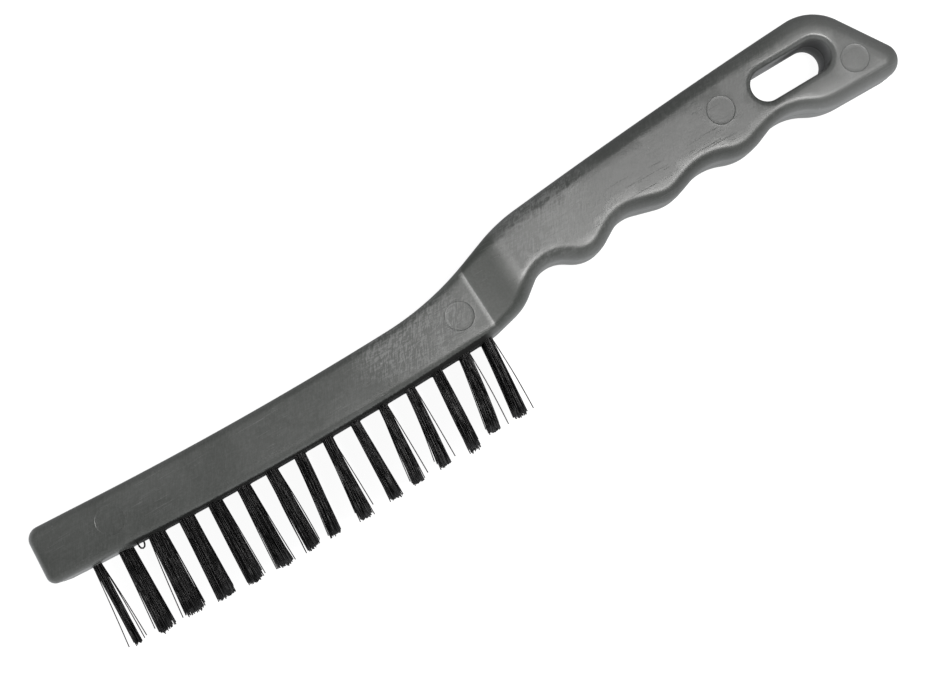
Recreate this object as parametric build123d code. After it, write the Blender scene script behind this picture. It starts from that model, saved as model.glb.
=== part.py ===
from build123d import *
import math
import os

os.makedirs("parts", exist_ok=True)

# Wire scratch brush lying on its side.
# +X runs from the nose of the brush to the hanging end, the bristles point to
# -Y, +Z is up out of the flat side of the handle.  Millimetres.
# The outline is drawn in the handle's own plan frame (u from the nose,
# v up from the lowest point of the bristle face, w from the mid plane) and
# everything is moved into the final frame at the end.

# ---------------------------------------------------------------- dimensions
LENGTH = 290.0            # nose to hanging end
BLOCK_THICK = 25.0        # bristle block, across the four rows
GRIP_THICK = 19.0         # finger grip, thinner than the block
BLOCK_EDGE_R = 2.3        # edge rounding round the block
GRIP_EDGE_R = 4.0         # fuller edge rounding round the grip
RAMP_START = 145.7        # crisp crease at the end of the block's flat side
RAMP_END = 161.5          # where the ramp has run out into the grip's side
RAMP_STEP = 0.08          # the ramp sits this much inside the block and grip

# hanging slot through the grip's end
SLOT_U, SLOT_V = 259.25, 26.15
SLOT_LONG, SLOT_WIDE = 26.1, 9.9
SLOT_TILT = 1.3           # degrees against the block's axis
SLOT_LIP_R = 1.6

# round ejector marks on the upper side: (u, v)
EJECTOR_MARKS = [(23.7, 10.3), (138.6, 11.4), (235.1, 26.05), (277.3, 19.9)]
EJECTOR_DIA = 8.6
EJECTOR_DEPTH = 0.15

# bristle field
COLUMNS = 15
NOSE_COLUMNS = [12.4, 21.8, 31.7]   # the nose pattern stands a little forward
COLUMN_4 = 41.39          # first column of the even pitch
COLUMN_PITCH = 9.33
LAST_COLUMN = 142.4       # the column beside the neck stands a little closer
ROW_PITCH = 5.9           # four rows across the block
HOLE_DIA = 3.0
HOLE_BOTTOM = 11.2        # v of the flat hole bottoms
TIP_V = -24.8             # v of the bristle tips
TIP_DIA = 4.5             # the wires spread from 3.0 at the root
FOLD_R = 1.1              # rounding where the wires turn round the anchor

# flat wire anchors that hold each tuft at the bottom of its hole
ANCHOR_LONG = 4.0         # bites 0.5 into the plastic on both sides
ANCHOR_HIGH = 1.8
ANCHOR_THICK = 0.4
ANCHOR_LIFT = 1.0         # wire thickness left between anchor and hole bottom

# Side outline as straight runs joined by tangent arcs: (u, v, corner radius)
OUTLINE = [
    (0.6, 19.25, 3.8),        # nose, spine side
    (68.3, 16.2, 1130.0),     # spine bows gently down over the block
    (133.5, 18.62, 88.0),     # hollow of the neck
    (161.3, 30.09, 48.0),     # shoulder of the neck
    (217.5, 36.38, 1950.0),   # long slightly crowned back of the grip
    (274.4, 40.25, 15.5),     # back corner of the hanging end
    (294.6, 10.5, 5.3),       # pointed toe of the hanging end
    (264.2, 10.5, 18.0),
    (251.9, 17.03, 16.4),     # finger groove 4
    (236.1, 10.36, 14.5),     # ridge
    (223.8, 14.88, 16.7),     # finger groove 3
    (210.1, 9.93, 13.0),      # ridge
    (194.5, 14.04, 11.5),     # finger groove 2
    (181.4, 5.95, 10.2),      # ridge
    (168.45, 13.98, 9.8),     # finger groove 1
    (156.8, 4.65, 13.8),      # throat
    (145.8, 1.9, 20.0),       # end of the bristle face
    (75.5, -1.357, 1340.0),   # bristle face, slightly bowed out
    (-0.1, 2.15, 2.8),        # nose, bristle side
]


def tangent_outline(corners):
    """Closed face of straight runs joined by arcs tangent to both of them."""
    n = len(corners)
    arcs = []
    for i in range(n):
        x0, y0, _ = corners[i - 1]
        x1, y1, r = corners[i]
        x2, y2, _ = corners[(i + 1) % n]
        ax, ay = x0 - x1, y0 - y1
        bx, by = x2 - x1, y2 - y1
        la, lb = math.hypot(ax, ay), math.hypot(bx, by)
        ax, ay, bx, by = ax / la, ay / la, bx / lb, by / lb
        half = math.acos(ax * bx + ay * by) / 2
        t = r / math.tan(half)
        sx, sy = ax + bx, ay + by
        ls = math.hypot(sx, sy)
        d = r / math.sin(half) - r
        arcs.append((
            Vector(x1 + ax * t, y1 + ay * t),
            Vector(x1 + sx / ls * d, y1 + sy / ls * d),
            Vector(x1 + bx * t, y1 + by * t),
        ))
    edges = []
    for i in range(n):
        start, middle, end = arcs[i]
        edges.append(Edge.make_three_point_arc(start, middle, end))
        edges.append(Edge.make_line(end, arcs[(i + 1) % n][0]))
    return Face(Wire(edges))


PROFILE = tangent_outline(OUTLINE)


def slab(thick, edge_r):
    """The whole outline as one plate with rounded edges on both sides."""
    plate = extrude(PROFILE, amount=thick / 2, both=True).solids()[0]
    rim = [e for e in plate.edges() if abs(abs((e @ 0.5).Z) - thick / 2) < 1e-6]
    if edge_r > 2.6:
        # the nose corners are tighter than the grip's rounding and this end
        # of the plate is cut away anyway
        rim = [e for e in rim if min((e @ 0).X, (e @ 1).X) > 20]
    return fillet(rim, edge_r).solids()[0]


def outline_span(u):
    """Lowest and highest point of the outline on the line at u."""
    cut = PROFILE.intersect(Edge.make_line(Vector(u, -60), Vector(u, 90)))
    if not hasattr(cut, "bounding_box"):
        cut = cut[0]
    box = cut.bounding_box()
    return box.min.Y, box.max.Y


def ramp_section(u, thick, edge_r):
    """Rounded rectangle across the neck at u."""
    lo, hi = outline_span(u)
    lo, hi, thick = lo + RAMP_STEP, hi - RAMP_STEP, thick - 2 * RAMP_STEP
    lo_a, hi_a = outline_span(u - 0.05)
    lo_b, hi_b = outline_span(u + 0.05)
    rl = edge_r * math.hypot(1, (lo_b - lo_a) / 0.1)
    rh = edge_r * math.hypot(1, (hi_b - hi_a) / 0.1)
    m, r = thick / 2, edge_r
    q = math.sqrt(0.5)

    def p(v, w):
        return Vector(u, v, w)

    return Wire([
        Edge.make_line(p(lo + rl, m), p(hi - rh, m)),
        Edge.make_three_point_arc(p(hi - rh, m), p(hi - rh * (1 - q), m - r * (1 - q)), p(hi, m - r)),
        Edge.make_line(p(hi, m - r), p(hi, r - m)),
        Edge.make_three_point_arc(p(hi, r - m), p(hi - rh * (1 - q), r * (1 - q) - m), p(hi - rh, -m)),
        Edge.make_line(p(hi - rh, -m), p(lo + rl, -m)),
        Edge.make_three_point_arc(p(lo + rl, -m), p(lo + rl * (1 - q), r * (1 - q) - m), p(lo, r - m)),
        Edge.make_line(p(lo, r - m), p(lo, m - r)),
        Edge.make_three_point_arc(p(lo, m - r), p(lo + rl * (1 - q), m - r * (1 - q)), p(lo + rl, m)),
    ])


# ------------------------------------------------------------ handle, plain
# Bristle block: the thick plate up to the crease.
block = slab(BLOCK_THICK, BLOCK_EDGE_R) - Pos(RAMP_START + 200, 0, 0) * Box(400, 200, 60)
# Grip: the thinner, rounder plate from the end of the ramp.
grip = slab(GRIP_THICK, GRIP_EDGE_R) - Pos(RAMP_END - 200, 0, 0) * Box(400, 200, 60)
# Ramp: straight at first, then running out softly into the grip's side.
sections = []
for step in range(11):
    k = step / 10
    drop = k * 1.18 if k <= 0.6 else 1 - (1 - 0.6 * 1.18) * ((1 - k) / 0.4) ** 1.6
    sections.append(ramp_section(
        RAMP_START + k * (RAMP_END - RAMP_START),
        BLOCK_THICK + (GRIP_THICK - BLOCK_THICK) * drop,
        # a little rounder than the grip's edge, so its corners stay inside it
        BLOCK_EDGE_R + 0.15 + (GRIP_EDGE_R + 0.45 - BLOCK_EDGE_R) * k,
    ))
ramp = Solid.make_loft(sections, False)
handle = (block + ramp + grip).solids()[0]

# ------------------------------------------------------------- hanging slot
# The opening with its rounded lips, as the body that is taken out of the grip.
plate = Box(60, 40, GRIP_THICK)
plate -= extrude(SlotOverall(SLOT_LONG, SLOT_WIDE), amount=GRIP_THICK, both=True)
lips = [
    e for e in plate.edges()
    if abs(abs((e @ 0.5).Z) - GRIP_THICK / 2) < 1e-6 and abs((e @ 0.5).X) < 20 and abs((e @ 0.5).Y) < 15
]
plate = fillet(lips, SLOT_LIP_R)
opening = (Box(50, 30, GRIP_THICK) - plate).solids()[0]
handle = (handle - Pos(SLOT_U, SLOT_V, 0) * Rot(0, 0, SLOT_TILT) * opening).solids()[0]

# ---------------------------------------------------------- ejector marks
for u, v in EJECTOR_MARKS:
    half = (BLOCK_THICK if u < RAMP_START else GRIP_THICK) / 2
    handle -= Pos(u, v, half - EJECTOR_DEPTH + 1) * Cylinder(EJECTOR_DIA / 2, 2)
handle = handle.solids()[0]

# ------------------------------------------------------------ bristle field
columns = NOSE_COLUMNS + [COLUMN_4 + i * COLUMN_PITCH for i in range(COLUMNS - 4)] + [LAST_COLUMN]


def rows_of(column):
    """w of the tufts in a column: the nose pattern narrows to one tuft."""
    if column == 0:
        return [0.0]
    if column == 1:
        return [-ROW_PITCH, 0.0, ROW_PITCH]
    return [-1.5 * ROW_PITCH, -0.5 * ROW_PITCH, 0.5 * ROW_PITCH, 1.5 * ROW_PITCH]


anchor_v = HOLE_BOTTOM - ANCHOR_LIFT - ANCHOR_HIGH / 2


def anchor_at(u, w):
    return Pos(u, anchor_v, w) * Box(ANCHOR_LONG, ANCHOR_HIGH, ANCHOR_THICK)


def face_v(u):
    """Height of the bristle face at u."""
    return outline_span(u)[0]


def tuft_at(u, w):
    """One bundle of wires, folded at the hole bottom, spreading to the tips."""
    root = face_v(u)
    stem = Cylinder(HOLE_DIA / 2, HOLE_BOTTOM - root, align=(Align.CENTER, Align.CENTER, Align.MIN))
    top = [e for e in stem.edges() if abs((e @ 0.5).Z - (HOLE_BOTTOM - root)) < 1e-6]
    stem = fillet(top, FOLD_R)
    brush = Cone(TIP_DIA / 2, HOLE_DIA / 2, root - TIP_V, align=(Align.CENTER, Align.CENTER, Align.MAX))
    tuft = (stem + brush).solids()[0]
    tuft = Pos(u, root, w) * Rot(-90, 0, 0) * tuft
    return (tuft - anchor_at(u, w)).solids()[0]


cutters = []
for index, u in enumerate(columns):
    for w in rows_of(index):
        bore = Cylinder(HOLE_DIA / 2, HOLE_BOTTOM + 6, align=(Align.CENTER, Align.CENTER, Align.MIN))
        cutters.append(Pos(u, -6, w) * Rot(-90, 0, 0) * bore)
        cutters.append(anchor_at(u, w))
handle = handle.cut(*[s for c in cutters for s in c.solids()]).solids()[0]

# ------------------------------------------------- move to the final frame
box = handle.bounding_box()
shift = Pos(
    -(box.min.X + box.max.X) / 2,
    -(TIP_V + box.max.Y) / 2,
    BLOCK_THICK / 2,
)
export_step(shift * handle, "parts/handle.step")
for index, u in enumerate(columns):
    rows = rows_of(index)
    name = "%02d" % (index + 1)
    tufts = [shift * tuft_at(u, w) for w in rows]
    anchors = [shift * anchor_at(u, w).solids()[0] for w in rows]
    export_step(Compound(children=tufts), "parts/tufts_%s.step" % name)
    export_step(Compound(children=anchors), "parts/anchors_%s.step" % name)

print("handle", handle.is_valid, round(handle.volume), "faces", len(handle.faces()))
print("shift", shift.position)
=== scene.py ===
import math
import random

import bmesh
import bpy
import numpy as np
from mathutils import Matrix, Vector
from mathutils.geometry import delaunay_2d_cdt


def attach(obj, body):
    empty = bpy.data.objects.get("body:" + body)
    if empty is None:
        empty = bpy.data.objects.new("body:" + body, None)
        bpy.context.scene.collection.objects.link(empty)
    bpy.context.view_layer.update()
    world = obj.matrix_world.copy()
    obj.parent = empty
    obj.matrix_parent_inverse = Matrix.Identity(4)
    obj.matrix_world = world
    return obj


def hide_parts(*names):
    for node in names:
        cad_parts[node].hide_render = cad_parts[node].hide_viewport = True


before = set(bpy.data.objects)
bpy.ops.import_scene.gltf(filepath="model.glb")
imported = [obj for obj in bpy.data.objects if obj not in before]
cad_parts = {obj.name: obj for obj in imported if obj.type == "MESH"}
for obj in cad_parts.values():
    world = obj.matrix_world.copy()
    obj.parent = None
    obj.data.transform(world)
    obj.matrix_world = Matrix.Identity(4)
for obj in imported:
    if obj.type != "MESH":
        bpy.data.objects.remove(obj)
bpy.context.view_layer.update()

random.seed(7)
rng = np.random.default_rng(7)
scene = bpy.context.scene

# ---------------------------------------------------------------- plan frame
# u from the nose, v up from the bristle face, w from the middle plane, in mm.
SHIFT = np.array([-144.953, -7.44098, 12.5])


def to_frame(points):
    """Plan millimetres to the frame's metres."""
    return (np.asarray(points, float) + SHIFT) / 1000.0


# side outline of the handle: straight runs joined by tangent arcs
OUTLINE = [
    (0.6, 19.25, 3.8), (68.3, 16.2, 1130.0), (133.5, 18.62, 88.0), (161.3, 30.09, 48.0),
    (217.5, 36.38, 1950.0), (274.4, 40.25, 15.5), (294.6, 10.5, 5.3), (264.2, 10.5, 18.0),
    (251.9, 17.03, 16.4), (236.1, 10.36, 14.5), (223.8, 14.88, 16.7), (210.1, 9.93, 13.0),
    (194.5, 14.04, 11.5), (181.4, 5.95, 10.2), (168.45, 13.98, 9.8), (156.8, 4.65, 13.8),
    (145.8, 1.9, 20.0), (75.5, -1.357, 1340.0), (-0.1, 2.15, 2.8),
]
BLOCK_HALF, GRIP_HALF = 12.5, 9.5
SLOT_U, SLOT_V, SLOT_LONG, SLOT_WIDE, SLOT_TILT = 259.25, 26.15, 26.1, 9.9, math.radians(1.3)
SLOT_LIP = 1.8
MARKS = [(23.7, 10.3), (138.6, 11.4), (235.1, 26.05), (277.3, 19.9)]
MARK_R = 4.3


def smooth(x, a, b):
    t = np.clip((np.asarray(x, float) - a) / (b - a), 0, 1)
    return t * t * (3 - 2 * t)


def crease_u(v):
    return 145.3 + (21.2 - np.asarray(v, float)) * 0.052


def half_thick(u, v):
    """Half thickness of the handle: the block, the crease and ramp, the grip."""
    x = np.asarray(u, float) - crease_u(v)
    x = 0.5 * (x + np.sqrt(x * x + 0.30 ** 2))
    k = np.clip(x / 15.6, 0, 1)
    drop = np.where(k <= 0.6, 1.18 * k, 1 - (1 - 0.708) * (np.clip(1 - k, 0, 1) / 0.4) ** 1.6)
    return BLOCK_HALF + (GRIP_HALF - BLOCK_HALF) * drop


def edge_radius(u, v, on_spine):
    """Rounding round the side outline at one of its points."""
    grip = smooth(u, 145.0, 164.0)
    full = 4.35
    if not on_spine:  # the rounding narrows where the slot comes near it
        full -= 0.75 * smooth(u, 240, 248) * (1 - smooth(u, 258, 268))
    if on_spine:
        block = 2.5 + (2.1 - 2.5) * smooth(u, 5, 16)
    else:
        block = 2.5 + (2.95 - 2.5) * smooth(u, 6, 18)
    return block + (full - block) * grip


def outline_points(step):
    """Points and outward normals along the outline, clockwise seen from above."""
    n = len(OUTLINE)
    arcs = []
    for i in range(n):
        p0 = np.array(OUTLINE[i - 1][:2])
        p1 = np.array(OUTLINE[i][:2])
        p2 = np.array(OUTLINE[(i + 1) % n][:2])
        r = OUTLINE[i][2]
        a = (p0 - p1) / np.linalg.norm(p0 - p1)
        b = (p2 - p1) / np.linalg.norm(p2 - p1)
        half = math.acos(float(a @ b)) / 2
        t = r / math.tan(half)
        s = (a + b) / np.linalg.norm(a + b)
        c = p1 + s * (r / math.sin(half))
        start, end = p1 + a * t, p1 + b * t
        turn = a[0] * -b[1] - a[1] * -b[0]
        arcs.append((start, end, c, r, math.copysign(1, turn)))
    pts, nrm = [], []
    for i in range(n):
        start, end, c, r, side = arcs[i]
        a0 = math.atan2(*(start - c)[::-1])
        a1 = math.atan2(*(end - c)[::-1])
        da = (a1 - a0 + math.pi) % (2 * math.pi) - math.pi
        convex = da < 0
        m = max(2, math.ceil(abs(da) * r / step), math.ceil(abs(da) / math.radians(5)))
        for j in range(m + 1):
            ang = a0 + da * j / m
            d = np.array([math.cos(ang), math.sin(ang)])
            pts.append(c + r * d)
            nrm.append(d if convex else -d)
        nxt = arcs[(i + 1) % n][0]
        gap = np.linalg.norm(nxt - end)
        m = max(1, math.ceil(gap / step))
        t = (nxt - end) / gap
        for j in range(1, m):
            pts.append(end + (nxt - end) * j / m)
            nrm.append(np.array([-t[1], t[0]]))
    pts, nrm = np.array(pts), np.array(nrm)
    keep = np.linalg.norm(pts - np.roll(pts, 1, 0), axis=1) > 1e-4
    pts, nrm = pts[keep], nrm[keep]
    # finer where the ramp starts and runs out
    out_p, out_n = [], []
    for i in range(len(pts)):
        j = (i + 1) % len(pts)
        out_p.append(pts[i])
        out_n.append(nrm[i])
        mid = (pts[i][0] + pts[j][0]) / 2
        gap = np.linalg.norm(pts[j] - pts[i])
        fine = 0.22 if 142.3 < mid < 148.5 else (0.55 if 148.5 <= mid < 166 else 9)
        for q in range(1, math.ceil(gap / fine)):
            f = q / math.ceil(gap / fine)
            out_p.append(pts[i] * (1 - f) + pts[j] * f)
            m = nrm[i] * (1 - f) + nrm[j] * f
            out_n.append(m / np.linalg.norm(m))
    return np.array(out_p), np.array(out_n)


def inside(points, loop):
    """Which points lie inside a closed loop."""
    x, y = points[:, 0][:, None], points[:, 1][:, None]
    x0, y0 = loop[:, 0][None], loop[:, 1][None]
    x1, y1 = np.roll(loop[:, 0], -1)[None], np.roll(loop[:, 1], -1)[None]
    cross = ((y0 > y) != (y1 > y)) & (x < (x1 - x0) * (y - y0) / np.where(y1 == y0, 1e-12, y1 - y0) + x0)
    return cross.sum(1) % 2 == 1


def distance(points, loop):
    d = np.full(len(points), 1e9)
    for i in range(0, len(loop), 64):
        part = loop[i:i + 64]
        d = np.minimum(d, np.linalg.norm(points[:, None] - part[None], axis=2).min(1))
    return d


def slot_loop(offset, count=112):
    """Loop round the hanging slot, a distance outside its wall, and its normals."""
    straight, r = SLOT_LONG - SLOT_WIDE, SLOT_WIDE / 2
    total = 2 * straight + 2 * math.pi * r
    pts, nrm = [], []
    for i in range(count):
        s = total * i / count
        if s < straight:
            p, n = (-straight / 2 + s, r), (0, 1)
        elif s < straight + math.pi * r:
            a = math.pi / 2 - (s - straight) / r
            p, n = (straight / 2 + r * math.cos(a), r * math.sin(a)), (math.cos(a), math.sin(a))
        elif s < 2 * straight + math.pi * r:
            p, n = (straight / 2 - (s - straight - math.pi * r), -r), (0, -1)
        else:
            a = -math.pi / 2 - (s - 2 * straight - math.pi * r) / r
            p, n = (-straight / 2 + r * math.cos(a), r * math.sin(a)), (math.cos(a), math.sin(a))
        pts.append(p)
        nrm.append(n)
    pts, nrm = np.array(pts), np.array(nrm)
    pts = pts + nrm * np.asarray(offset).reshape(-1, 1)
    c, s = math.cos(SLOT_TILT), math.sin(SLOT_TILT)
    rot = np.array([[c, -s], [s, c]])
    return pts @ rot.T + np.array([SLOT_U, SLOT_V]), nrm @ rot.T


def mesh_object(name, verts, faces, material, smooth_faces=True):
    mesh = bpy.data.meshes.new(name)
    mesh.from_pydata([tuple(v) for v in verts], [], [tuple(int(i) for i in f) for f in faces])
    mesh.validate()
    if smooth_faces:
        mesh.polygons.foreach_set("use_smooth", [True] * len(mesh.polygons))
    obj = bpy.data.objects.new(name, mesh)
    scene.collection.objects.link(obj)
    if material:
        mesh.materials.append(material)
    return obj


# ------------------------------------------------------------- handle mesh
def build_handle():
    P, N = outline_points(0.9)
    n = len(P)
    spine = N[:, 1] > 0.0
    R = np.array([float(edge_radius(P[i, 0], P[i, 1], spine[i])) for i in range(n)])
    # even the rounding where spine and bristle side meet at nose and toe
    for _ in range(3):
        R = (np.roll(R, 1) + 2 * R + np.roll(R, -1)) / 4
    verts, rows = [], []

    def add(points):
        base = len(verts)
        verts.extend(points)
        return list(range(base, base + len(points)))

    K = 9
    thetas = [math.pi / 2 * (K - j) / K for j in range(K + 1)]
    halves = [(R * (1 - math.cos(t)), R * (1 - math.sin(t))) for t in thetas]
    for inset, fall in halves:
        q = P - N * inset[:, None]
        top = half_thick(q[:, 0], q[:, 1]) - fall
        rows.append(add(np.column_stack([q, top]).tolist()))
    top_wall = half_thick(P[:, 0], P[:, 1]) - R
    # the side wall, with the faint line where the two mould halves met
    for f, bead in [(0.75, 0), (0.5, 0), (0.25, 0), (None, 0.0), (None, 0.055), (None, 0.0), (-0.25, 0), (-0.5, 0), (-0.75, 0)]:
        if f is None:
            k = len(rows)
            z = {K + 4: 0.16, K + 5: 0.0, K + 6: -0.16}[k] * np.ones(n)
        else:
            z = top_wall * f
        q = P + N * bead
        rows.append(add(np.column_stack([q, z]).tolist()))
    for inset, fall in reversed(halves):
        q = P - N * inset[:, None]
        low = -(half_thick(q[:, 0], q[:, 1]) - fall)
        rows.append(add(np.column_stack([q, low]).tolist()))
    faces = []
    for a, b in zip(rows[:-1], rows[1:]):
        for i in range(n):
            j = (i + 1) % n
            faces.append((a[i], a[j], b[j], b[i]))

    # flat sides, triangulated between the rounding, the slot's lip and the marks
    edge_loop = np.array([verts[i][:2] for i in rows[0]])
    lip_rows = []
    lip_top, slot_n = slot_loop(SLOT_LIP)
    slot_wall, _ = slot_loop(0.0)
    m = len(lip_top)
    grid = []
    for u in np.arange(2, 292, 2.6):
        for v in np.arange(-1, 40, 2.6):
            grid.append((u + rng.uniform(-0.2, 0.2), v + rng.uniform(-0.2, 0.2)))
    grid = [g for g in grid if not 141 < g[0] < 167]
    for du in [-4, -2.4, -1.4, -0.8, -0.45, -0.2, 0.0, 0.2, 0.45, 0.8, 1.4, 2.2, 3.2, 4.4, 5.6, 6.8, 8.0, 9.0, 9.8, 10.6, 11.4, 12.2, 13.0, 13.8, 14.5, 15.1, 15.6, 16.2, 17.4, 19.0]:
        for v in np.arange(2, 34, 1.3):
            grid.append((float(crease_u(v)) + du, v))
    grid = np.array(grid)
    grid = grid[inside(grid, edge_loop) & (distance(grid, edge_loop) > 0.55)]
    grid = grid[~inside(grid, lip_top) & (distance(grid, lip_top) > 0.9)]
    marks = []
    ring_steps = [(0.30, 0.0), (0.13, 0.008), (0.04, 0.012), (-0.06, -0.045), (-0.26, -0.06), (-1.2, -0.055)]
    for mu, mv in MARKS:
        keep = np.linalg.norm(grid - np.array([mu, mv]), axis=1) > MARK_R + 0.9
        grid = grid[keep]
        loops = []
        for dr, dz in ring_steps:
            a = np.linspace(0, 2 * math.pi, 72, endpoint=False)
            loops.append((np.column_stack([mu + (MARK_R + dr) * np.cos(a), mv + (MARK_R + dr) * np.sin(a)]), dz))
        marks.append(loops)
        loops.append((np.array([[mu, mv]]), -0.05))

    points = [edge_loop, lip_top]
    edges = [(i, (i + 1) % n) for i in range(n)]
    edges += [(n + i, n + (i + 1) % m) for i in range(m)]
    height = [np.zeros(n), np.zeros(m)]
    at = n + m
    for loops in marks:
        for loop, dz in loops:
            points.append(loop)
            height.append(np.full(len(loop), dz))
            if len(loop) > 1:
                edges += [(at + i, at + (i + 1) % len(loop)) for i in range(len(loop))]
            at += len(loop)
    points.append(grid)
    height.append(np.zeros(len(grid)))
    points = np.vstack(points)
    height = np.concatenate(height)
    out_v, _, out_f, orig_v, _, _ = delaunay_2d_cdt([Vector(p) for p in points], edges, [], 0, 1e-5)
    index = [o[0] if o else -1 for o in orig_v]
    co = np.array([v[:] for v in out_v])
    tris = np.array([f for f in out_f if len(f) == 3])
    walls = set()
    where = {o: k for k, o in enumerate(index) if o >= 0}
    for a, b in edges:
        walls.add((min(a, b), max(a, b)))
    by_edge = {}
    for f, tri in enumerate(tris):
        for a, b in ((tri[0], tri[1]), (tri[1], tri[2]), (tri[2], tri[0])):
            by_edge.setdefault((min(a, b), max(a, b)), []).append(f)

    def is_wall(e):
        a, b = index[e[0]], index[e[1]]
        if (min(a, b), max(a, b)) not in walls:
            return False
        return a < n + m and b < n + m

    mid = co[tris].mean(1)
    seeds = [fs[0] for e, fs in by_edge.items() if len(fs) == 1 and not is_wall(e)]
    seeds.append(int(np.argmin(np.linalg.norm(mid - np.array([SLOT_U, SLOT_V]), axis=1))))
    outside = set(seeds)
    stack = list(seeds)
    while stack:
        f = stack.pop()
        tri = tris[f]
        for a, b in ((tri[0], tri[1]), (tri[1], tri[2]), (tri[2], tri[0])):
            e = (min(a, b), max(a, b))
            if is_wall(e):
                continue
            for g in by_edge[e]:
                if g not in outside:
                    outside.add(g)
                    stack.append(g)
    tris = np.array([tri for f, tri in enumerate(tris) if f not in outside])
    z = half_thick(points[:, 0], points[:, 1])
    top_id, low_id = {}, {}
    for i in range(n):
        top_id[i] = rows[0][i]
        low_id[i] = rows[-1][i]
    for i in range(n, len(points)):
        top_id[i] = len(verts)
        verts.append([points[i][0], points[i][1], z[i] + height[i]])
        low_id[i] = len(verts)
        verts.append([points[i][0], points[i][1], -z[i]])
    extra = {}
    for t in tris:
        ids = []
        for k in t:
            if index[k] >= 0:
                ids.append(index[k])
            else:
                if k not in extra:
                    extra[k] = len(points) + 100000 + len(extra)
                    h = float(half_thick(co[k][0], co[k][1]))
                    top_id[extra[k]] = len(verts)
                    verts.append([co[k][0], co[k][1], h])
                    low_id[extra[k]] = len(verts)
                    verts.append([co[k][0], co[k][1], -h])
                ids.append(extra[k])
        faces.append(tuple(top_id[i] for i in ids))
        faces.append(tuple(low_id[i] for i in reversed(ids)))
    # hanging slot: lip, wall, lip
    L = 7
    slot_rows = [[top_id[n + i] for i in range(m)]]
    for j in range(1, L + 1):
        t = math.pi / 2 * (L - j) / L
        q = slot_wall + slot_n * (SLOT_LIP * (1 - math.cos(t)))
        slot_rows.append(add(np.column_stack([q, np.full(m, GRIP_HALF - SLOT_LIP * (1 - math.sin(t)))]).tolist()))
    for zz in (4.5, 1.6, 0.16, 0.0, -0.16, -1.6, -4.5):
        q = slot_wall - slot_n * (0.055 if zz == 0.0 else 0.0)
        slot_rows.append(add(np.column_stack([q, np.full(m, zz)]).tolist()))
    for j in range(L, 0, -1):
        t = math.pi / 2 * (L - j) / L
        q = slot_wall + slot_n * (SLOT_LIP * (1 - math.cos(t)))
        slot_rows.append(add(np.column_stack([q, np.full(m, -(GRIP_HALF - SLOT_LIP * (1 - math.sin(t))))]).tolist()))
    slot_rows.append([low_id[n + i] for i in range(m)])
    for a, b in zip(slot_rows[:-1], slot_rows[1:]):
        for i in range(m):
            j = (i + 1) % m
            faces.append((a[i], b[i], b[j], a[j]))
    obj = mesh_object("brush_handle", to_frame(verts), faces, None)
    bm = bmesh.new()
    bm.from_mesh(obj.data)
    bmesh.ops.delete(bm, geom=[v for v in bm.verts if not v.link_faces], context="VERTS")
    bmesh.ops.recalc_face_normals(bm, faces=bm.faces)
    bad = [e for e in bm.edges if len(e.link_faces) != 2]
    print("handle open edges", len(bad), "verts", len(bm.verts), "faces", len(bm.faces))
    bm.to_mesh(obj.data)
    bm.free()
    return obj


# bristle field
COLUMNS = [12.4, 21.8, 31.7] + [41.39 + 9.33 * i for i in range(11)] + [142.4]
ROW = 5.9
HOLE_R = 1.5


def rows_of(i):
    if i == 0:
        return [0.0]
    if i == 1:
        return [-ROW, 0.0, ROW]
    return [-1.5 * ROW, -0.5 * ROW, 0.5 * ROW, 1.5 * ROW]


_P, _N = outline_points(0.9)
_low = _P[_N[:, 1] < -0.5]
_low = _low[np.argsort(_low[:, 0])]


def face_v(u, w=0.0):
    """Height of the bristle face, with its rounding towards the flat sides."""
    base = np.interp(u, _low[:, 0], _low[:, 1])
    r = 2.95
    over = np.clip(np.abs(w) - (BLOCK_HALF - r), 0, r * 0.999)
    return base + r - np.sqrt(r * r - over * over)


def cut_holes(handle):
    """Drills the bristle holes into the face."""
    verts, faces = [], []
    for i, u in enumerate(COLUMNS):
        for w in rows_of(i):
            base = len(verts)
            seg = 28
            levels = [(-5.0, HOLE_R + 0.06), (7.0, HOLE_R + 0.06)]
            for v, r in levels:
                for k in range(seg):
                    a = 2 * math.pi * k / seg
                    verts.append((u + r * math.cos(a), v, w + r * math.sin(a)))
            faces.append([base + k for k in range(seg)])
            faces.append([base + seg + k for k in reversed(range(seg))])
            for k in range(seg):
                j = (k + 1) % seg
                faces.append((base + k, base + seg + k, base + seg + j, base + j))
    cutter = mesh_object("cutter", to_frame(verts), faces, None, False)
    bm = bmesh.new()
    bm.from_mesh(cutter.data)
    bmesh.ops.recalc_face_normals(bm, faces=bm.faces)
    bm.to_mesh(cutter.data)
    bm.free()
    mod = handle.modifiers.new("holes", "BOOLEAN")
    mod.operation = "DIFFERENCE"
    mod.object = cutter
    mod.solver = "MANIFOLD"
    bpy.context.view_layer.update()
    deps = bpy.context.evaluated_depsgraph_get()
    mesh = bpy.data.meshes.new_from_object(handle.evaluated_get(deps))
    print("after holes", len(mesh.vertices), len(mesh.polygons))
    handle.modifiers.clear()
    old = handle.data
    handle.data = mesh
    mesh.name = "brush_handle"
    bpy.data.meshes.remove(old)
    bpy.data.objects.remove(cutter)


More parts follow.
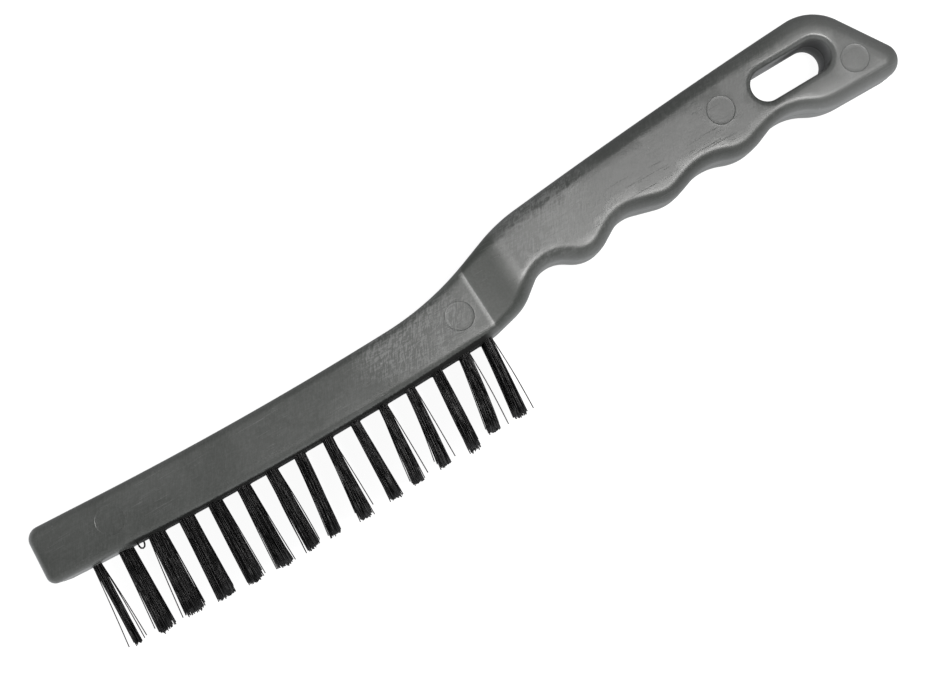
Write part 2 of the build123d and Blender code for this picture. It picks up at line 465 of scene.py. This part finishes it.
def hole_rims(material):
    """The slight burr that drilling leaves round each hole."""
    verts, faces = [], []
    seg, ring = 36, 5
    for i, u in enumerate(COLUMNS):
        for w in rows_of(i):
            base = len(verts)
            phase = rng.uniform(0, 6.28, 3)
            for k in range(seg):
                a = 2 * math.pi * k / seg
                wob = 1 + 0.25 * math.sin(2 * a + phase[0]) + 0.2 * math.sin(5 * a + phase[1])
                for q in range(ring):
                    b = math.pi * q / (ring - 1)
                    r = HOLE_R + 0.24 - 0.19 * math.cos(b) * 1.0
                    lift = 0.13 * max(0.25, wob) * math.sin(b)
                    uu, ww = u + r * math.cos(a), w + r * math.sin(a)
                    vv = float(face_v(uu, ww)) + 0.03 - lift - (0.0)
                    verts.append((uu, vv, ww))
            for k in range(seg):
                j = (k + 1) % seg
                for q in range(ring - 1):
                    faces.append((base + k * ring + q, base + j * ring + q, base + j * ring + q + 1, base + k * ring + q + 1))
                # underside, just inside the face
                faces.append((base + k * ring, base + k * ring + ring - 1, base + j * ring + ring - 1, base + j * ring))
    obj = mesh_object("hole_rims", to_frame(verts), faces, material)
    bm = bmesh.new()
    bm.from_mesh(obj.data)
    bmesh.ops.recalc_face_normals(bm, faces=bm.faces)
    bm.to_mesh(obj.data)
    bm.free()
    return obj


# -------------------------------------------------------------------- wires
WIRE_R = 0.165
WIRES = 40
TIP_NEAR = [
    (12.1, -23.7), (21.0, -24.6), (30.5, -24.1), (40.5, -24.7), (50.3, -25.1), (59.7, -25.3), (69.0, -25.1),
    (76.7, -24.9), (86.5, -25.0), (97.0, -24.1), (104.7, -23.9), (114.2, -23.4), (124.0, -23.1), (131.6, -22.1),
    (140.4, -21.9),
]


def add_wire(verts, faces, path, radius, sides=5):
    """One wire as a closed tube along a path of (u, v, w) points."""
    path = np.asarray(path, float)
    tan = np.gradient(path, axis=0)
    tan /= np.linalg.norm(tan, axis=1)[:, None]
    base = len(verts)
    ref = np.array([0.0, 0.0, 1.0])
    twist = rng.uniform(0, 6.28)
    for p, t in zip(path, tan):
        e1 = np.cross(t, ref)
        e1 /= np.linalg.norm(e1)
        e2 = np.cross(t, e1)
        for k in range(sides):
            a = twist + 2 * math.pi * k / sides
            verts.append(p + radius * (math.cos(a) * e1 + math.sin(a) * e2))
    m = len(path)
    for i in range(m - 1):
        for k in range(sides):
            j = (k + 1) % sides
            faces.append((base + i * sides + k, base + i * sides + j, base + (i + 1) * sides + j, base + (i + 1) * sides + k))
    faces.append([base + k for k in reversed(range(sides))])
    faces.append([base + (m - 1) * sides + k for k in range(sides)])


def build_tufts(index, material):
    verts, faces = [], []
    u0 = COLUMNS[index]
    for w0 in rows_of(index):
        near = w0 == max(rows_of(index))
        tip_u, tip_v = TIP_NEAR[index]
        if not near:
            tip_u = tip_u + rng.normal(0.0, 0.25)
            tip_v = tip_v + rng.normal(0, 0.35)
        tip_w = w0 + rng.normal(0, 0.3)
        wide = 1.12 if index == 0 else 1.74
        spread_u = rng.uniform(0.93, 1.1) * wide
        spread_w = rng.uniform(0.93, 1.1) * wide
        for i in range(WIRES):
            rr = math.sqrt((i + 0.5) / WIRES)
            a = i * 2.39996 + rng.normal(0, 0.12)
            cu, cw = rr * math.cos(a), rr * math.sin(a)
            ru, rw = u0 + 1.32 * cu, w0 + 1.32 * cw
            fan = 1 + rng.normal(0, 0.07)
            if index and rr > 0.8 and rng.random() < 0.16:
                fan = rng.uniform(1.18, 1.42)
            tu = tip_u + spread_u * cu * fan + rng.normal(0, 0.13)
            tw = tip_w + spread_w * cw * fan + rng.normal(0, 0.14)
            short = abs(rng.normal(0, 0.75)) if rng.random() < 0.84 else rng.uniform(0.6, 2.6)
            tv = tip_v - 0.5 + short + rng.normal(0, 0.15)
            bow_u, bow_w = rng.normal(0, 0.10), rng.normal(0, 0.14)
            start = float(face_v(ru, 0)) + 4.0
            path = []
            for s in np.linspace(0, 1, 8):
                root_f = max(0.0, (start + (tv - start) * s - float(face_v(ru, 0))) / 4.0)
                g = np.clip((s * (start - tv) - 4.0) / (start - tv - 4.0), 0, 1)
                g = g ** 1.2
                path.append((
                    ru + (tu - ru) * g + bow_u * math.sin(math.pi * g),
                    start + (tv - start) * s,
                    rw + (tw - rw) * g + bow_w * math.sin(math.pi * g),
                ))
            add_wire(verts, faces, path, WIRE_R * rng.uniform(0.94, 1.06))
    # loose wires that stand away from their bundle
    for (w0, du, dw, dv, bend) in STRAYS.get(index, []):
        root = float(face_v(u0, 0))
        start, tv = root + 4.0, -24.6 + dv
        path = []
        for s in np.linspace(0, 1, 12):
            v = start + (tv - start) * s
            g = np.clip((root - v) / (root - tv), 0, 1)
            side = 1 if du > 0 else -1
            path.append((
                u0 + side * 1.25 + (du - side * 1.25) * g + bend * math.sin(math.pi * g),
                v,
                w0 + dw * g,
            ))
        add_wire(verts, faces, path, WIRE_R * 0.98)
    if index == 2:
        hook = [(26.9, 1.9, 8.6), (26.9, 0.6, 9.2), (26.95, -0.3, 9.5), (27.2, -0.95, 9.7), (27.75, -1.25, 9.75), (28.3, -1.0, 9.7), (28.6, -0.4, 9.5), (28.7, 0.3, 9.3)]
        add_wire(verts, faces, hook, WIRE_R * 1.6, 7)
    obj = mesh_object("wires_%02d" % (index + 1), to_frame(verts), faces, material)
    return obj


# per column: (row w, tip offset in u, tip offset in w, tip height offset, bow)
STRAYS = {
    0: [(0.0, -3.4, 0.5, 0.9, 0.1), (0.0, 2.7, 0.9, 1.4, 0.15), (0.0, 1.75, 0.2, 1.0, 0.2), (0.0, -1.5, -0.4, 0.1, 0.0)],
    2: [(8.85, -3.9, 0.4, 0.6, -0.1)],
    4: [(8.85, 2.2, 0.3, 1.3, 0.1)],
    6: [(-8.85, -2.6, -0.6, 1.6, -0.1)],
    8: [(2.95, 2.2, 0.8, 1.5, 0.1)],
    10: [(8.85, -2.9, 0.4, 1.2, -0.1), (8.85, 1.8, 0.5, 1.6, 0.1)],
    11: [(8.85, 1.6, 0.6, 1.8, 0.1)],
    12: [(8.85, -3.6, 0.3, 1.3, -0.1)],
    13: [(8.85, 0.8, 0.8, 2.2, 0.3), (8.85, -5.0, 0.3, 2.6, -0.1)],
    14: [(8.85, 1.6, 0.7, 2.6, 0.3), (2.95, -3.9, -0.3, 2.4, -0.1)],
}


# ---------------------------------------------------------------- materials
def new_material(name):
    mat = bpy.data.materials.new(name)
    mat.use_nodes = True
    nt = mat.node_tree
    nt.nodes.clear()
    out = nt.nodes.new("ShaderNodeOutputMaterial")
    bsdf = nt.nodes.new("ShaderNodeBsdfPrincipled")
    nt.links.new(bsdf.outputs["BSDF"], out.inputs["Surface"])
    return mat, nt, bsdf


class Graph:
    """Short names for the shader nodes used here."""

    def __init__(self, nt):
        self.nt = nt
        coord = nt.nodes.new("ShaderNodeTexCoord")
        scale = nt.nodes.new("ShaderNodeVectorMath")
        scale.operation = "SCALE"
        scale.inputs["Scale"].default_value = 1000.0
        nt.links.new(coord.outputs["Object"], scale.inputs[0])
        self.mm = scale.outputs[0]

    def put(self, socket, value):
        if isinstance(value, (int, float)):
            socket.default_value = value
        elif isinstance(value, tuple):
            socket.default_value = value
        else:
            self.nt.links.new(value, socket)

    def math(self, op, a, b=0.0, clamp=False):
        nd = self.nt.nodes.new("ShaderNodeMath")
        nd.operation = op
        nd.use_clamp = clamp
        self.put(nd.inputs[0], a)
        self.put(nd.inputs[1], b)
        return nd.outputs[0]

    def mapping(self, vector, scale=(1, 1, 1), rot=(0, 0, 0), loc=(0, 0, 0)):
        nd = self.nt.nodes.new("ShaderNodeMapping")
        self.nt.links.new(vector, nd.inputs["Vector"])
        nd.inputs["Scale"].default_value = scale
        nd.inputs["Rotation"].default_value = rot
        nd.inputs["Location"].default_value = loc
        return nd.outputs[0]

    def noise(self, vector, scale, detail=3.0, rough=0.5, distort=0.0):
        nd = self.nt.nodes.new("ShaderNodeTexNoise")
        self.nt.links.new(vector, nd.inputs["Vector"])
        nd.inputs["Scale"].default_value = scale
        nd.inputs["Detail"].default_value = detail
        nd.inputs["Roughness"].default_value = rough
        nd.inputs["Distortion"].default_value = distort
        return nd.outputs["Fac"]

    def ramp(self, value, lo, hi, a=0.0, b=1.0, smooth_step=True):
        nd = self.nt.nodes.new("ShaderNodeMapRange")
        nd.interpolation_type = "SMOOTHSTEP" if smooth_step else "LINEAR"
        self.put(nd.inputs["Value"], value)
        nd.inputs["From Min"].default_value = lo
        nd.inputs["From Max"].default_value = hi
        nd.inputs["To Min"].default_value = a
        nd.inputs["To Max"].default_value = b
        return nd.outputs["Result"]

    def mix(self, fac, a, b):
        nd = self.nt.nodes.new("ShaderNodeMix")
        nd.data_type = "RGBA"
        self.put(nd.inputs[0], fac)
        self.put(nd.inputs[6], a)
        self.put(nd.inputs[7], b)
        return nd.outputs[2]

    def spot(self, centre, radii):
        """1 at a place on the object, falling to 0 at the given radii (mm)."""
        sub = self.nt.nodes.new("ShaderNodeVectorMath")
        sub.operation = "SUBTRACT"
        self.nt.links.new(self.mm, sub.inputs[0])
        sub.inputs[1].default_value = centre
        div = self.nt.nodes.new("ShaderNodeVectorMath")
        div.operation = "DIVIDE"
        self.nt.links.new(sub.outputs[0], div.inputs[0])
        div.inputs[1].default_value = radii
        length = self.nt.nodes.new("ShaderNodeVectorMath")
        length.operation = "LENGTH"
        self.nt.links.new(div.outputs[0], length.inputs[0])
        return self.ramp(length.outputs["Value"], 0.35, 1.0, 1.0, 0.0)

    def bump(self, height, strength, dist, normal=None):
        nd = self.nt.nodes.new("ShaderNodeBump")
        nd.inputs["Strength"].default_value = strength
        nd.inputs["Distance"].default_value = dist
        self.nt.links.new(height, nd.inputs["Height"])
        if normal is not None:
            self.nt.links.new(normal, nd.inputs["Normal"])
        return nd.outputs["Normal"]


def handle_material():
    mat, nt, bsdf = new_material("handle_plastic")
    g = Graph(nt)
    mm = g.mm
    sep = nt.nodes.new("ShaderNodeSeparateXYZ")
    nt.links.new(mm, sep.inputs[0])
    x, y, z = sep.outputs["X"], sep.outputs["Y"], sep.outputs["Z"]
    # distance past the crease, along the brush
    past = g.math("ADD", x, g.math("MULTIPLY", y, 0.052))
    past = g.math("SUBTRACT", past, 0.347 + 0.052 * 13.76)
    ramp_shade_mask = g.math("MULTIPLY", g.ramp(past, 0.1, 0.9), g.ramp(past, 11.5, 14.6, 1.0, 0.0))
    cloudy = g.noise(mm, 0.035, 4, 0.55, 0.6)
    grain = g.noise(mm, 5.5, 2, 0.5)
    speck = g.noise(mm, 1.5, 3, 0.65)
    # short brushed scuffs across the proud faces, painted paler in spots where the key light's sheen falls
    turned = g.mapping(mm, (1, 1, 1), (0, 0, -1.05))
    strokes = g.noise(g.mapping(turned, (0.34, 1.9, 0.8)), 1.0, 4, 0.68, 0.9)
    strokes2 = g.noise(g.mapping(mm, (0.30, 1.7, 0.8), (0, 0, -0.62), (7, 2, 0)), 1.0, 4, 0.64, 0.8)
    scuff = g.math("ADD", g.math("MULTIPLY", strokes, 0.6), g.math("MULTIPLY", strokes2, 0.4))
    # painted sheen: spots by the crease on the grip, at the block's end and at the grip's far end, where the scuffs are
    # painted paler as the key light's sheen falls there
    near = g.math("MAXIMUM", g.spot((33.0, 16.5, 22.0), (27, 15, 6)), g.spot((-21.0, 5.5, 25.0), (24, 12, 5)))
    near = g.math("MAXIMUM", near, g.math("MULTIPLY", g.spot((88.0, 20.0, 22.0), (46, 14, 6)), 0.38))
    swirl = g.ramp(g.noise(g.mapping(mm, (0.16, 0.26, 0.2), (0, 0, 0.45)), 1.0, 5, 0.66, 2.2), 0.42, 0.74)
    scuffs_and_sheen = g.math("MULTIPLY", g.ramp(scuff, 0.46, 0.60), g.math("ADD", g.math("MULTIPLY", near, 1.1), 0.16))
    scuffs_and_sheen = g.math("ADD", scuffs_and_sheen, g.math("MULTIPLY", swirl, g.math("ADD", g.math("MULTIPLY", near, 0.30), 0.04)))
    # painted shade: the scuffs are thinned out on the ramp so it reads darker
    scuffs_and_sheen = g.math("MULTIPLY", scuffs_and_sheen, g.math("SUBTRACT", 1.0, g.math("MULTIPLY", ramp_shade_mask, 0.93)), True)
    # fine scratches in two directions
    s1 = g.noise(g.mapping(mm, (0.05, 2.6, 0.6), (0, 0, 0.9)), 1.0, 2, 0.5, 0.25)
    s2 = g.noise(g.mapping(mm, (0.06, 3.4, 0.6), (0, 0, -0.55), (11, 3, 0)), 1.0, 2, 0.5, 0.3)
    s1 = g.ramp(s1, 0.66, 0.70)
    s2 = g.ramp(s2, 0.68, 0.715)
    gate = g.ramp(g.noise(mm, 0.08, 2, 0.5), 0.45, 0.6)
    scratch = g.math("MULTIPLY", g.math("MAXIMUM", s1, s2), gate)
    # small pale nicks
    vor = nt.nodes.new("ShaderNodeTexVoronoi")
    vor.inputs["Scale"].default_value = 0.26
    vor.inputs["Randomness"].default_value = 1.0
    nt.links.new(mm, vor.inputs["Vector"])
    nick = g.ramp(vor.outputs["Distance"], 0.035, 0.06, 1.0, 0.0)
    nick = g.math("MULTIPLY", nick, g.ramp(g.noise(mm, 0.33, 1, 0.5), 0.56, 0.62))
    # the block's side of the crease, painted pale as a highlight along the edge
    crease_highlight = g.math("MULTIPLY", g.ramp(past, -1.5, -0.35), g.ramp(past, 0.0, 0.35, 1.0, 0.0))
    crease_highlight = g.math("MULTIPLY", crease_highlight, g.ramp(z, 24.72, 24.9))
    crease_highlight = g.math("MULTIPLY", crease_highlight, g.ramp(speck, 0.3, 0.62, 0.5, 1.0))

    dark = (0.053, 0.0565, 0.052, 1)
    mid = (0.071, 0.0745, 0.070, 1)
    pale = (0.200, 0.203, 0.200, 1)
    colour = g.mix(g.ramp(cloudy, 0.3, 0.7), dark, mid)
    # painted shade: the ramp's colour is darkened where it tilts away from the light
    colour = g.mix(g.math("MULTIPLY", ramp_shade_mask, 0.85), colour, (0.043, 0.0475, 0.042, 1))
    colour = g.mix(g.math("MULTIPLY", scuffs_and_sheen, 0.62), colour, pale)
    colour = g.mix(g.ramp(speck, 0.35, 0.70, 0.0, 0.08), colour, pale)
    colour = g.mix(g.math("MULTIPLY", scratch, 0.30), colour, pale)
    colour = g.mix(g.math("MULTIPLY", nick, 0.8), colour, (0.45, 0.46, 0.45, 1))
    # painted highlight along the block's side of the crease
    colour = g.mix(g.math("MULTIPLY", crease_highlight, 0.5), colour, (0.33, 0.335, 0.325, 1))
    # painted shade over the key light's sheen in mid grip, and a painted highlight round the hanging end
    colour = g.mix(g.math("MULTIPLY", g.spot((74.0, 18.0, 19.0), (46, 30, 20)), 0.5), colour, (0.030, 0.032, 0.030, 1))
    colour = g.mix(g.math("MULTIPLY", g.spot((130.0, 14.0, 19.0), (30, 30, 20)), 0.35), colour, (0.170, 0.173, 0.170, 1))
    # painted shade: a dark strip along the bristle face where the wires shade it, and the slot's inner wall darkened as
    # in shadow; these places are also made rougher and duller
    bow = g.math("MULTIPLY", g.math("ADD", x, 69.9), 1 / 75.0)
    face = g.math("SUBTRACT", y, g.math("ADD", g.math("MULTIPLY", g.math("MULTIPLY", bow, bow), 3.2), -8.75))
    face = g.math("ADD", face, g.math("MULTIPLY", g.math("SUBTRACT", speck, 0.5), 0.8))
    painted_shade = g.math("MULTIPLY", g.ramp(face, 1.75, 2.30, 1.0, 0.0), g.math("MULTIPLY", g.ramp(x, -123.5, -117.5), g.ramp(x, -3.5, 0.5, 1.0, 0.0)))
    slot_shade = g.math("MULTIPLY", g.spot((122.0, 20.0, 12.0), (13, 11, 16)), g.ramp(z, 19.8, 21.4, 1.0, 0.0))
    painted_shade = g.math("MAXIMUM", painted_shade, g.math("MULTIPLY", slot_shade, 0.85))
    # painted shade colour on the bristle face strip and in the slot
    colour = g.mix(g.math("MULTIPLY", painted_shade, 0.9), colour, (0.010, 0.010, 0.0098, 1))
    nt.links.new(colour, bsdf.inputs["Base Color"])
    rough = g.ramp(cloudy, 0.3, 0.7, 0.30, 0.35)
    rough = g.math("ADD", rough, g.math("MULTIPLY", painted_shade, 0.35))
    rough = g.math("ADD", rough, g.math("MULTIPLY", scuffs_and_sheen, 0.10))
    rough = g.math("ADD", rough, g.math("MULTIPLY", scratch, 0.10), True)
    nt.links.new(rough, bsdf.inputs["Roughness"])
    nt.links.new(g.math("SUBTRACT", 0.5, g.math("MULTIPLY", painted_shade, 0.46), True), bsdf.inputs["Specular IOR Level"])
    n1 = g.bump(g.noise(mm, 0.10, 2, 0.5), 0.30, 0.00020)
    n2 = g.bump(grain, 0.10, 0.00008, n1)
    n3 = g.bump(g.math("SUBTRACT", g.math("MULTIPLY", scuffs_and_sheen, 0.35), g.math("MAXIMUM", scratch, nick)), 0.35, 0.00006, n2)
    nt.links.new(n3, bsdf.inputs["Normal"])
    return mat


def wire_material():
    mat, nt, bsdf = new_material("dark_wire")
    g = Graph(nt)
    mm = g.mm
    streak = g.noise(g.mapping(mm, (2.4, 0.10, 2.4)), 1.0, 2, 0.5)
    patch = g.noise(g.mapping(mm, (0.9, 0.22, 0.9), (0, 0, 0), (3, 1, 5)), 1.0, 3, 0.6)
    sep = nt.nodes.new("ShaderNodeSeparateXYZ")
    nt.links.new(mm, sep.inputs[0])
    toward_grip = g.ramp(sep.outputs["X"], -100.0, 0.0, 0.12, 0.75)
    colour = g.mix(g.ramp(streak, 0.42, 0.62), (0.0018, 0.0018, 0.0020, 1), (0.030, 0.0295, 0.030, 1))
    colour = g.mix(g.math("MULTIPLY", g.ramp(patch, 0.56, 0.70), 0.7), colour, (0.095, 0.094, 0.094, 1))
    colour = g.mix(g.math("MULTIPLY", g.ramp(patch, 0.44, 0.62), toward_grip), colour, (0.085, 0.084, 0.084, 1))
    nt.links.new(colour, bsdf.inputs["Base Color"])
    bsdf.inputs["Metallic"].default_value = 0.75
    nt.links.new(g.ramp(patch, 0.35, 0.7, 0.36, 0.5), bsdf.inputs["Roughness"])
    bsdf.inputs["Specular IOR Level"].default_value = 0.3
    return mat


def anchor_material():
    mat, nt, bsdf = new_material("anchor_wire")
    g = Graph(nt)
    streak = g.noise(g.mapping(g.mm, (0.6, 6.0, 6.0)), 1.0, 3, 0.6)
    nt.links.new(g.mix(streak, (0.30, 0.30, 0.29, 1), (0.52, 0.52, 0.51, 1)), bsdf.inputs["Base Color"])
    bsdf.inputs["Metallic"].default_value = 1.0
    nt.links.new(g.ramp(streak, 0.3, 0.7, 0.25, 0.45), bsdf.inputs["Roughness"])
    return mat


PLASTIC = handle_material()
WIRE = wire_material()
ANCHOR = anchor_material()

handle = build_handle()
cut_holes(handle)
handle.data.materials.clear()
handle.data.materials.append(PLASTIC)
handle.data.polygons.foreach_set("use_smooth", [True] * len(handle.data.polygons))
handle.data.set_sharp_from_angle(angle=math.radians(32))
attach(handle, "root")
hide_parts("handle")

rims = hole_rims(PLASTIC)
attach(rims, "root")

for i in range(len(COLUMNS)):
    tuft = build_tufts(i, WIRE)
    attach(tuft, "root")
    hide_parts("tufts_%02d" % (i + 1))

for name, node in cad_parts.items():
    if name.startswith("anchors_"):
        node.data.materials.clear()
        node.data.materials.append(ANCHOR)

# -------------------------------------------------------------------- stage
def stage_material(name, glow, albedo):
    mat, nt, bsdf = new_material(name)
    g = Graph(nt)
    soft = g.noise(g.mm, 0.01, 2, 0.5)
    nt.links.new(g.mix(soft, (albedo, albedo, albedo, 1), (albedo * 1.03, albedo * 1.03, albedo * 1.03, 1)), bsdf.inputs["Base Color"])
    bsdf.inputs["Roughness"].default_value = 0.9
    bsdf.inputs["Specular IOR Level"].default_value = 0.0
    bsdf.inputs["Emission Color"].default_value = (1, 1, 1, 1)
    bsdf.inputs["Emission Strength"].default_value = glow
    return mat


floor = mesh_object("floor", [(-3, -3, -0.0004), (3, -3, -0.0004), (3, 3, -0.0004), (-3, 3, -0.0004)], [(0, 1, 2, 3)], stage_material("floor_white", 0.94, 0.22), False)
dome_v, dome_f = [], []
for a in range(12):
    e = math.pi / 2 * a / 11
    for b in range(32):
        c = 2 * math.pi * b / 32
        dome_v.append((2.9 * math.cos(e) * math.cos(c), 2.9 * math.cos(e) * math.sin(c), 2.9 * math.sin(e) - 0.01))
for a in range(11):
    for b in range(32):
        d = (b + 1) % 32
        dome_f.append((a * 32 + b, a * 32 + d, (a + 1) * 32 + d, (a + 1) * 32 + b))
backdrop = mesh_object("backdrop", dome_v, dome_f, stage_material("backdrop_white", 0.93, 0.02), True)
for piece in (floor, backdrop):
    # the surroundings light the object through the world and the lamps alone
    piece.visible_diffuse = False
    piece.visible_glossy = False
    piece.visible_shadow = False

# soft surroundings: even overhead, dim behind the spine, paler low at the nose and bristle side
world = bpy.data.worlds.new("studio")
world.use_nodes = True
wn = world.node_tree
bg = wn.nodes["Background"]
way = wn.nodes.new("ShaderNodeTexCoord")
sep = wn.nodes.new("ShaderNodeSeparateXYZ")
wn.links.new(way.outputs["Generated"], sep.inputs[0])


def world_math(op, a, b):
    nd = wn.nodes.new("ShaderNodeMath")
    nd.operation = op
    for socket, value in ((nd.inputs[0], a), (nd.inputs[1], b)):
        if isinstance(value, (int, float)):
            socket.default_value = value
        else:
            wn.links.new(value, socket)
    return nd.outputs[0]


def world_range(value, lo, hi, a, b):
    nd = wn.nodes.new("ShaderNodeMapRange")
    nd.interpolation_type = "SMOOTHSTEP"
    wn.links.new(value, nd.inputs["Value"])
    for key, number in (("From Min", lo), ("From Max", hi), ("To Min", a), ("To Max", b)):
        nd.inputs[key].default_value = number
    return nd.outputs["Result"]


low = world_range(sep.outputs["Z"], 0.05, 0.6, 1.0, 0.0)
pale = world_math("MAXIMUM", world_range(sep.outputs["X"], 0.2, -0.8, 0.0, 1.0), world_math("MULTIPLY", world_range(sep.outputs["Y"], 0.1, -0.8, 0.0, 1.0), 0.8))
strength = world_math("ADD", 0.30, world_math("MULTIPLY", world_math("MULTIPLY", low, pale), 1.25))
strength = world_math("MULTIPLY", strength, world_range(sep.outputs["Y"], 0.1, 0.9, 1.0, 0.9))
wn.links.new(strength, bg.inputs["Strength"])
bg.inputs["Color"].default_value = (0.97, 0.98, 1.0, 1)
scene.world = world


def area(name, pos, aim, size, power, colour=(1, 1, 1)):
    light = bpy.data.lights.new(name, "AREA")
    light.shape = "RECTANGLE"
    light.size, light.size_y = size
    light.energy = power
    light.color = colour
    obj = bpy.data.objects.new(name, light)
    obj.location = pos
    obj.rotation_euler = (Vector(aim) - Vector(pos)).to_track_quat("-Z", "Y").to_euler()
    scene.collection.objects.link(obj)
    return obj


area("key", (0.20, -0.075, 0.75), (0.03, 0.0, 0.0), (0.17, 0.17), 3.9, (1.0, 0.99, 0.98))
area("fill", (-0.7, -0.9, 0.9), (0, 0, 0), (0.8, 0.8), 1.5)

cam = bpy.data.cameras.new("camera")
cam.sensor_width = 36.0
cam.sensor_fit = "HORIZONTAL"
cam.lens = 36.0 * 1820.2 / 929.0
cam.clip_start = 0.01
cam.clip_end = 20.0
camera = bpy.data.objects.new("camera", cam)
right = Vector((0.866735, -0.497908, 0.029306))
up = Vector((0.495079, 0.865970, 0.070664))
forward = Vector((0.060562, 0.046738, -0.997070))
camera.matrix_world = Matrix((
    (right.x, up.x, -forward.x, -0.04003),
    (right.y, up.y, -forward.y, -0.02684),
    (right.z, up.z, -forward.z, 0.545),
    (0, 0, 0, 1),
))
scene.collection.objects.link(camera)
scene.camera = camera
scene.view_settings.view_transform = "Standard"
scene.view_settings.look = "None"
